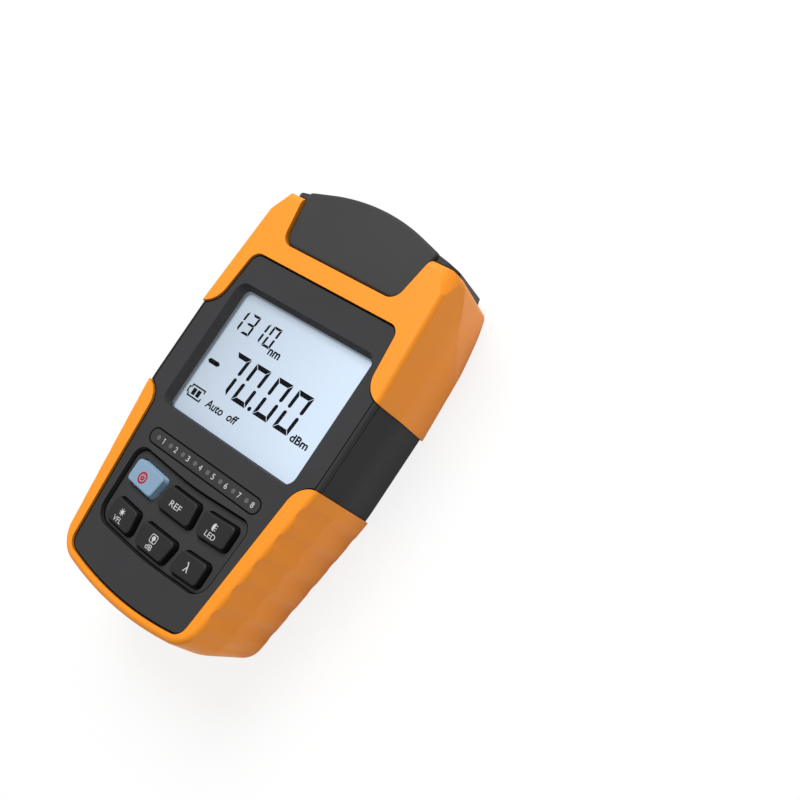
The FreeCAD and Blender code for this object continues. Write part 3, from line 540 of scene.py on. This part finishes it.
TRAY_DEPTH = 1.2                    # of the keypad tray's floor, below the front panel
# painted shadow: black rings drawn inwards from these outlines, for the shade in the gaps
PAINTED_GAP_SHADOWS = {                           # node, how far below its top, which outline, line width
    "panel_gap_shadow": ("front_case", 0.0, 0, 0.3),
    "keypad_rim_shadow": ("front_case", 0.0, 1, 0.2),
    "keypad_tray_shadow": ("front_case", TRAY_DEPTH, 0, 0.4),
    "strip_edge_shadow": ("indicator_strip", 0.0, 0, 0.28),
}


def seam_lines():
    """Painted shadow of the gaps round the front panel, the keypad tray and the lamp strip."""
    for name, (node, drop, place, width) in PAINTED_GAP_SHADOWS.items():
        z = top_of(node) - drop
        outline = flat_outlines(node, z)[place]
        printed(name, [ring(outline, drawn_in(outline, width))], z, "case", painted_shade_black)


# ---- The display ----
# The lit bars of each figure: a is the top one, then on clockwise, and g is the middle one.
FIGURES = {"0": "abcdef", "1": "bc", "3": "abcdg", "7": "abc"}
LEAN = 0.08
BAR_GAP = 0.11                                  # between bars, in widths of an upright one
BAR_END = (0.55, 0.28, 0.6)                     # an upright bar's end, in widths of a level one
BIG_FIGURE = (5.65, 11.35, (1.15, 1.3))         # width, height, (upright, level) bars
SMALL_FIGURE = (3.2, 6.0, (0.74, 0.66))
# Each figure and its left end.
WAVELENGTH = [("1", -23.3), ("3", -18.95), ("1", -14.8), ("0", -10.45)]
WAVELENGTH_LOW = 14.4
LEVEL = [("7", -16.4), ("0", -8.6), ("0", 0.0), ("0", 7.8)]
LEVEL_LOW = -1.4
DECIMAL_POINT = (-1.5, -0.8, 0.62)              # its middle and radius
MINUS_SIGN = (-22.9, -18.2, 3.6, 4.9)           # from x to x, from y to y
BATTERY_SIGN = (-22.95, -6.35, -17.2, -3.25)    # lowest corner, highest corner
BATTERY_LINE = 0.42
DISPLAY_WORDS = [                               # word, left, low, width, height, weight, lean
    ("nm", -7.0, 13.15, 4.3, 1.75, 0.03),
    ("dBm", 14.6, -1.95, 6.3, 2.2, 0.028),
    ("Auto", -14.8, -6.45, 6.7, 2.35, 0.024, 0.1),
    ("off", -6.2, -6.4, 3.8, 2.35, 0.024, 0.1),
]


def figure(digit, left, low, width, height, thick):
    """The lit bars of one figure, where thick is how thick its (upright, level) bars are."""
    upright, level = thick
    gap = BAR_GAP * upright
    middle = height / 2
    inner, tip, outer = (middle + level * share for share in BAR_END)
    top = [(gap, height), (width - gap, height), (width - upright - gap, height - level),
           (upright + gap, height - level)]
    side = [(0, height - gap), (upright, height - level - gap), (upright, inner),
            (upright / 2, tip), (0, outer)]
    centre = [(gap * 2, middle), (upright, middle + level / 2),
              (width - upright, middle + level / 2), (width - gap * 2, middle),
              (width - upright, middle - level / 2), (upright, middle - level / 2)]

    def turned(points, across, over):
        return [(width - x if across else x, height - y if over else y) for x, y in points]

    bars = {"a": top, "b": turned(side, True, False), "c": turned(side, True, True),
            "d": turned(top, False, True), "e": turned(side, False, True), "f": side, "g": centre}
    return [filled([(left + x + LEAN * y, low + y) for x, y in bars[name]])
            for name in FIGURES[digit]]


def row_of_figures(places, low, size):
    return [sheet for digit, left in places for sheet in figure(digit, left, low, *size)]


def minus_sign(x0, x1, y0, y1):
    """A level bar, pointed at both ends."""
    nose = (y1 - y0) / 2
    middle = (y0 + y1) / 2
    return filled([(x0, middle), (x0 + nose, y0), (x1 - nose, y0), (x1, middle),
                   (x1 - nose, y1), (x0 + nose, y1)])


def battery_sign(x0, y0, x1, y1):
    """Battery outline open at its far end, nub to the left, with two bars of charge."""
    nub, neck, lip, inset, charge_width = 0.8, 0.75, 0.85, 0.6, 1.35
    side = x0 + nub
    middle = (y0 + y1) / 2
    outlines = [
        [(side, middle + neck), (side, y1), (x1, y1), (x1, y1 - lip)],
        [(side, middle - neck), (side, y0), (x1, y0), (x1, y0 + lip)],
        [(side - 0.2, middle + 0.7), (x0 + 0.1, middle + 0.7), (x0 + 0.1, middle - 0.7),
         (side - 0.2, middle - 0.7)],
    ]
    charge = [bar(side + left, y0 + inset, side + left + charge_width, y1 - inset)
              for left in (0.85, 2.65)]
    return [stroke(outline, BATTERY_LINE) for outline in outlines] + charge


def display_marks():
    """The figures, words and signs that the display shows."""
    level = row_of_figures(LEVEL, LEVEL_LOW, BIG_FIGURE)
    marks = {
        "wavelength": row_of_figures(WAVELENGTH, WAVELENGTH_LOW, SMALL_FIGURE),
        "level": level + [filled(circle(*DECIMAL_POINT)), minus_sign(*MINUS_SIGN)],
        "words": [lettering(*word) for word in DISPLAY_WORDS],
        "battery": battery_sign(*BATTERY_SIGN),
    }
    for name, sheets in marks.items():
        printed("display_" + name, sheets, top_of("lcd_panel"), "case", display_ink)


# ---- Marks on the keys ----
def power_mark(x, y):
    """A ring with the usual broken circle and stroke inside."""
    glyph = arc(x, y, 0.5, radians(130), radians(280), 20)
    return [ring(circle(x, y, 1.6), circle(x, y, 1.08)), stroke(glyph, 0.5),
            bar(x - 0.16, y, x + 0.16, y + 0.85)]


def torch_mark(x, y):
    """A half-round lamp head with three rays."""
    head = [(x + 0.75 * dx, y + dy) for dx, dy in arc(0, 0, 1, radians(90), radians(180), 16)]
    rays = [bar(x + 0.3, y + dy - 0.09, x + 0.85, y + dy + 0.09) for dy in (-0.62, 0.0, 0.62)]
    return [filled(head), bar(x + 0.02, y - 1.0, x + 0.16, y + 1.0)] + rays


def star_mark(x, y):
    """A dot with eight rays."""
    rays = []
    for i in range(8):
        way = Vector((cos(tau * i / 8), sin(tau * i / 8)))
        rays.append(stroke([tuple(Vector((x, y)) + way * near) for near in (0.54, 1.02)], 0.15))
    return [filled(circle(x, y, 0.52, 20))] + rays


def lamp_mark(x, y):
    """A round lamp on its foot in a rounded frame."""
    return [
        ring(rounded_box(x, y, 2.5, 2.3, 0.6), rounded_box(x, y, 2.1, 1.9, 0.4)),
        filled(circle(x, y + 0.12, 0.6, 24)),
        bar(x - 0.26, y - 0.76, x + 0.26, y - 0.52),
    ]


def lambda_mark(x, y):
    """The Greek letter for a wavelength: its long leg as a stroke, its short one filled."""
    long_leg = [(-0.67, 1.05), (-0.45, 1.2), (-0.22, 0.86), (0.45, -0.96), (0.71, -1.1)]
    short_leg = [(-0.136, 0.21), (-0.88, -1.2), (-0.54, -1.2), (-0.009, -0.136)]
    long_leg, short_leg = ([(x + dx, y + dy) for dx, dy in leg] for leg in (long_leg, short_leg))
    return [stroke(long_leg, 0.3), filled(short_leg)]


def key_marks():
    """The mark on each key, which rides on its cap."""
    z = top_of("power_key")
    dark = {
        "reference": [word_on("REF", -0.2, -30.6, 4.2, 1.6)],
        "torch": torch_mark(13.9, -28.95) + [word_on("LED", 14.1, -31.15, 3.6, 1.4)],
        "laser": star_mark(-13.9, -39.8) + [word_on("VFL", -14.0, -41.95, 3.2, 1.4)],
        "decibel": lamp_mark(-0.15, -40.1) + [word_on("dB", -0.15, -42.35, 2.3, 1.4)],
        "wavelength": lambda_mark(13.8, -40.45),
    }
    printed("power_mark", power_mark(-14.8, -29.95), z, "power_key_cap", red_ink)
    for key, sheets in dark.items():
        printed(key + "_mark", sheets, z, key + "_key_cap", white_ink)


# ---- The strip of indicator lamps ----
LAMP_COUNT = 8
LAMP_PITCH = 5.07
FIRST_LAMP_X = -18.5
LAMP_RADIUS = 0.64
NUMERAL_LEFT = 1.75                 # of a lamp's numeral, from the lamp's middle
NUMERAL_WIDTH, NUMERAL_HEIGHT = 0.95, 1.5
NUMERAL_DROP = 0.8                  # of its foot, below the lamp's middle
ONE_MIDDLE = 2.15                   # of the first numeral, which is drawn from listed points
ONE = [(-0.02, -0.8), (0.2, -0.8), (0.2, 0.7), (0.0, 0.7), (-0.27, 0.48), (-0.27, 0.24),
       (-0.02, 0.44)]


def strip_marks():
    """The lamps' round windows, and a numeral to the right of each."""
    z = top_of("indicator_strip")
    low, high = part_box("indicator_strip")
    y = (low.y + high.y) / 2 / MM
    places = [FIRST_LAMP_X + LAMP_PITCH * i for i in range(LAMP_COUNT)]
    lamps = [filled(circle(x, y, LAMP_RADIUS, 28)) for x in places]
    printed("strip_lamps", lamps, z, "case", lamp_tint)
    numerals = [filled([(places[0] + ONE_MIDDLE + dx, y + dy) for dx, dy in ONE])]
    for i, x in enumerate(places[1:], 2):
        numerals.append(lettering(str(i), x + NUMERAL_LEFT, y - NUMERAL_DROP,
                                  NUMERAL_WIDTH, NUMERAL_HEIGHT))
    printed("strip_numerals", numerals, z, "case", white_ink)


# ---- Turned and driven details on the metal parts ----
TURN_STEPS = 64
BARRELS = {"detector_port": (3.9, 2), "laser_port": (3.4, 5)}     # radius, turns of thread
THREAD_PITCH = 0.45
THREAD_HIGH = 0.2
THREAD_SUNK = 0.1                   # how far the thread's ring reaches into the barrel
THREAD_BACK = 0.15                  # from the barrel's rim to the thread
SLEEVE = (1.3, 1.85)                # inner and outer radius of the ferrule sleeve
SLEEVE_SUNK = 0.2                   # behind the barrel's rim
SLEEVE_RISE = (0.03, 0.06)          # in front of the rim, inside and outside
SLEEVE_CHAMFER = 0.06
PORT_WALL_BACK = 2.4                # from the detector port's rim to the end wall
PORT_WORDS = [                      # word, its middle across and up, width, height
    ("OPM", 17.0, 20.7, 4.6, 1.5),
    ("VFL", 6.6, 20.7, 4.0, 1.5),
    ("LED", -1.6, 20.7, 3.8, 1.5),
    ("LAN", -13.1, 20.9, 4.6, 1.5),
]
SCREW_HEAD_R = 1.8
LOWER_SCREW_X = 16.5
CROSS_HALF = 0.28                   # half the width of a cross recess's arm
CROSS_REACH = 1.1


def turned_piece(name, profile, x, z, body, material):
    """A ring turned about the line along Y through (x, z): profile is closed, of (radius, y)."""
    shape = bmesh.new()
    rows = []
    for i in range(TURN_STEPS):
        way = (cos(tau * i / TURN_STEPS), sin(tau * i / TURN_STEPS))
        rows.append([shape.verts.new(((x + r * way[0]) * MM, y * MM, (z + r * way[1]) * MM))
                     for r, y in profile])
    for i, near in enumerate(rows):
        far = rows[(i + 1) % TURN_STEPS]
        for k in range(len(profile)):
            on = (k + 1) % len(profile)
            shape.faces.new([near[k], near[on], far[on], far[k]])
    fitted(name, shape, body, material)


def port_details():
    """Thread and ferrule sleeve of each turned port."""
    for node, (barrel, turns) in BARRELS.items():
        low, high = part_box(node)
        x, z, rim = (low.x + high.x) / 2 / MM, (low.z + high.z) / 2 / MM, high.y / MM
        start = rim - THREAD_BACK - turns * THREAD_PITCH
        thread = [(barrel + (THREAD_HIGH if i % 2 else 0.0), start + THREAD_PITCH * i / 2)
                  for i in range(2 * turns + 1)]
        thread += [(barrel - THREAD_SUNK, thread[-1][1]), (barrel - THREAD_SUNK, start)]
        turned_piece(node + "_thread", thread, x, z, "case", nickel)
        inner, outer = SLEEVE
        sleeve = [(inner, rim - SLEEVE_SUNK), (inner, rim + SLEEVE_RISE[0]),
                  (outer - SLEEVE_CHAMFER, rim + SLEEVE_RISE[1]), (outer, rim - SLEEVE_SUNK)]
        turned_piece(node + "_sleeve", sleeve, x, z, "case", ceramic)


def port_words():
    """Plain words over the ports, on the end wall."""
    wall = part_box("detector_port")[1].y / MM - PORT_WALL_BACK
    words = [word_on(*word) for word in PORT_WORDS]
    printed("port_words", words, wall, "case", white_ink, PORT_END)


def screw_recesses():
    """Painted shade of the cross recess in the head of each case screw: a flat black cross."""
    low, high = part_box("case_screws")
    upper_x, upper_y = high.x / MM - SCREW_HEAD_R, high.y / MM - SCREW_HEAD_R
    lower_y = low.y / MM + SCREW_HEAD_R
    h, r = CROSS_HALF, CROSS_REACH
    cross = [(h, h), (h, r), (-h, r), (-h, h), (-r, h), (-r, -h),
             (-h, -h), (-h, -r), (h, -r), (h, -h), (r, -h), (r, h)]
    middles = [(side * x, y) for x, y in ((upper_x, upper_y), (LOWER_SCREW_X, lower_y))
               for side in (-1, 1)]
    sheets = [filled([(x + dx, y + dy) for dx, dy in cross]) for x, y in middles]
    printed("screw_recesses", sheets, -low.z / MM, "case", painted_shade_black, BACK)


# ---- Studio ----
FLOOR_HALF = 3.0                    # metres
FLOOR_WHITE = 0.93
FLOOR_SHADOW = 0.15                 # how much of the floor's own shading is kept in view,
SHADOW_REACH = (0.16, 0.45)         # in full nearer than this, and not at all further off
FLOOR_DROP = 0.02 * MM              # so that the floor shares no plane with the meter's back
CONTACT = 0.5 * MM                  # light from nearer than this passes up through the floor
WORLD_FILL = 0.38                   # the world's strength, except where it is seen directly
KEY_LIGHT = {"place": (-0.17, 0.47, 0.81), "size": 0.6, "power": 9.5}     # metres, watts


def seen_directly(graph):
    """1 for what the camera, a reflection or clear plastic sees, and 0 for plain light."""
    camera_ray, glossy_ray, clear_ray = (
        graph.node("ShaderNodeLightPath", output=f"Is {kind} Ray")
        for kind in ("Camera", "Glossy", "Transmission"))
    return (camera_ray + glossy_ray + clear_ray).at_most(1.0)


def studio_floor():
    """A white floor that keeps a soft shadow near the meter, and is clear from below."""
    mesh = bpy.data.meshes.new("floor")
    z = CAD_BOX[0][2] - FLOOR_DROP
    corners = [(-1, -1), (1, -1), (1, 1), (-1, 1)]
    mesh.from_pydata([(x * FLOOR_HALF, y * FLOOR_HALF, z) for x, y in corners], [],
                     [(0, 1, 2, 3)])
    floor = bpy.data.objects.new("floor", mesh)
    bpy.context.scene.collection.objects.link(floor)
    finish = Finish("floor_white", base_color=(FLOOR_WHITE,) * 3, roughness=0.9,
                    specular_ior_level=0.0)
    own = Value(finish, finish.shader.outputs[0])
    glow = finish.node("ShaderNodeEmission", sockets={"Color": WHITE, "Strength": 1.0})
    glass = finish.node("ShaderNodeBsdfTransparent")
    away = finish.node("ShaderNodeVectorMath", {"operation": "LENGTH"}, {0: finish.place()},
                       "Value")
    kept = FLOOR_SHADOW * finish.mapped(away, *SHADOW_REACH, 1.0, 0.0)
    plain = seen_directly(finish) * (1 - kept)
    above = finish.node("ShaderNodeMixShader", sockets={0: plain, 1: own, 2: glow})
    under = finish.node("ShaderNodeNewGeometry", output="Backfacing")
    near = finish.node("ShaderNodeLightPath", output="Ray Length") < CONTACT
    seen = finish.node("ShaderNodeMixShader", sockets={0: under.at_least(near), 1: above,
                                                       2: glass})
    finish.feed(finish.tree.nodes["Material Output"].inputs["Surface"], seen)
    mesh.materials.append(finish.material)


def studio_world():
    """A white world that lights the meter only as strongly as WORLD_FILL."""
    world = bpy.data.worlds.new("studio")
    world.use_nodes = True
    bpy.context.scene.world = world
    sky = Graph(world.node_tree)
    background = sky.tree.nodes["Background"]
    sky.feed(background.inputs["Color"], WHITE)
    strength = seen_directly(sky) * (1 - WORLD_FILL) + WORLD_FILL
    sky.feed(background.inputs["Strength"], strength)


def softbox(name, place, size, power):
    """A square lamp that faces the middle of the meter's back."""
    light = bpy.data.lights.new(name, "AREA")
    light.shape = "SQUARE"
    light.size = size
    light.energy = power
    lamp = bpy.data.objects.new(name, light)
    lamp.location = place
    lamp.rotation_euler = Vector(place).to_track_quat("Z", "Y").to_euler()
    bpy.context.scene.collection.objects.link(lamp)


def camera():
    data = bpy.data.cameras.new("camera")
    data.lens = CAMERA_LENS
    seat = bpy.data.objects.new("camera", data)
    away = Vector((cos(CAMERA_ELEVATION) * cos(CAMERA_AZIMUTH),
                   cos(CAMERA_ELEVATION) * sin(CAMERA_AZIMUTH), sin(CAMERA_ELEVATION)))
    aim = away.to_track_quat("Z", "Y")
    seat.matrix_world = (Matrix.Translation(Vector(CAMERA_AIM) + away * CAMERA_DISTANCE)
                         @ aim.to_matrix().to_4x4() @ Matrix.Rotation(CAMERA_ROLL, 4, "Z"))
    bpy.context.scene.collection.objects.link(seat)
    bpy.context.scene.camera = seat


seam_lines()
display_marks()
key_marks()
strip_marks()
port_details()
port_words()
screw_recesses()

studio_floor()
studio_world()
softbox("key_light", **KEY_LIGHT)
camera()
bpy.context.scene.view_settings.view_transform = "Standard"
